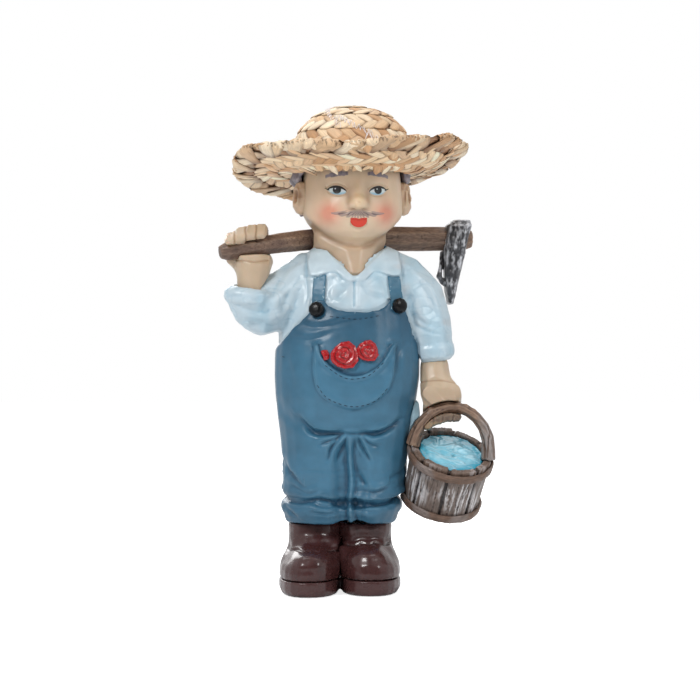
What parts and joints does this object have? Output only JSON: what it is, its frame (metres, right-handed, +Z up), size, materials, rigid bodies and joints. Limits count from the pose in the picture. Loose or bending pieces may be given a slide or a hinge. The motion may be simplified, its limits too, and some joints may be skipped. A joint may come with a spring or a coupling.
{
  "type": "gardener figurine",
  "caption": "Standing painted gardener figurine in overalls and a straw hat, holding a hoe across the shoulders and a water bucket by its arched bail.",
  "frame": {"origin": "on the ground between the boots, under the middle of the figure", "axes": "+Z up, -Y the way the figure faces, +X towards the figure's own left, where the bucket hangs"},
  "size_m": [0.1176, 0.0997, 0.2066],
  "materials": {
    "skin": "satin varnish",
    "shirt": "gloss varnish",
    "denim": "gloss varnish",
    "boot": "high gloss varnish",
    "button": "satin",
    "rose": "gloss varnish",
    "hair": "dry-brushed satin",
    "eye": "gloss",
    "lips": "satin",
    "straw": "matte plaited straw",
    "wood": "dry-brushed satin, carved as bark",
    "stave": "dry-brushed satin, carved as boards",
    "iron": "dry-brushed satin, hammered",
    "water": "high gloss varnish"
  },
  "bodies": {
    "root": {"neck": "skin", "head": "skin", "right_ear": "skin", "left_ear": "skin", "right_forearm": "skin", "right_hand": "skin", "left_forearm": "skin", "left_hand": "skin", "shirt_body": "shirt", "right_collar": "shirt", "left_collar": "shirt", "right_sleeve": "shirt", "right_cuff": "shirt", "left_sleeve": "shirt", "left_cuff": "shirt", "pocket_cloth": "shirt", "overalls": "denim", "bib_pocket": "denim", "right_strap": "denim", "left_strap": "denim", "right_back_strap": "denim", "left_back_strap": "denim", "soles": "boot", "right_boot": "boot", "left_boot": "boot", "right_strap_button": "button", "left_strap_button": "button", "large_rose": "rose", "small_rose": "rose", "rose_bud": "rose", "hair": "hair", "right_eyebrow": "hair", "left_eyebrow": "hair", "moustache": "hair", "right_eye": "eye", "left_eye": "eye", "mouth": "lips", "hat_crown": "straw", "hat_brim": "straw", "hoe_handle": "wood", "bucket_upper_hoop": "wood", "bucket_lower_hoop": "wood", "bucket_bail": "wood", "bucket_tub": "stave", "hoe_head": "iron", "bucket_water": "water"}
  },
  "joints": []
}
